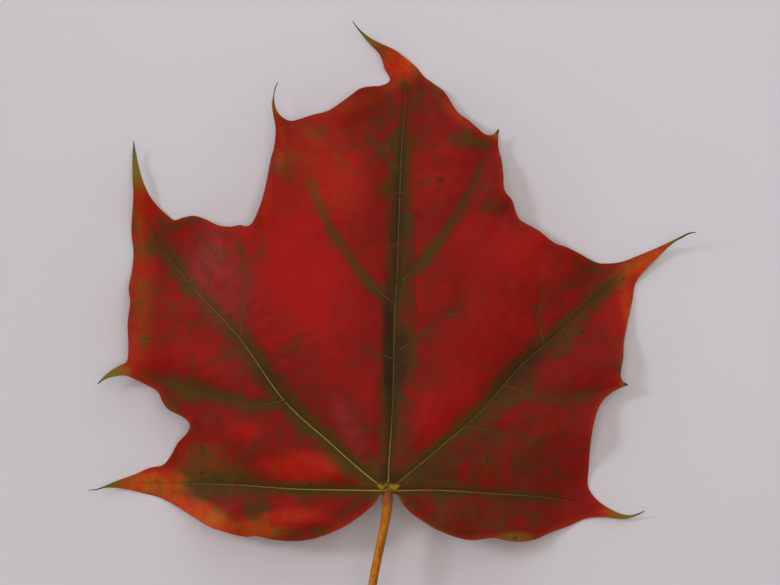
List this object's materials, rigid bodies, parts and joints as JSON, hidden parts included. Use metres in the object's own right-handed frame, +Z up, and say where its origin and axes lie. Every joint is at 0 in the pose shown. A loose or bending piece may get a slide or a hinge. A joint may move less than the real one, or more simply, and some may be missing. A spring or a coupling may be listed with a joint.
{
  "type": "maple leaf",
  "caption": "Red autumn maple leaf lying face up: lobed blade with drawn-out tips, raised ribs beneath and a waved margin, on a long orange stalk.",
  "frame": {"origin": "on the surface that the leaf lies on, under the middle of its plan", "axes": "+Y from the stalk's end towards the tip of the middle lobe, +Z up out of the leaf's upper face, +X to the right of the face"},
  "size_m": [0.1518, 0.223, 0.0147],
  "materials": {
    "blade": "waxy semi-gloss, crimson with olive along the ribs",
    "stalk": "satin, orange with a redder upper side"
  },
  "bodies": {
    "root": {"leaf_blade": "blade", "leaf_stalk": "stalk"}
  },
  "joints": []
}
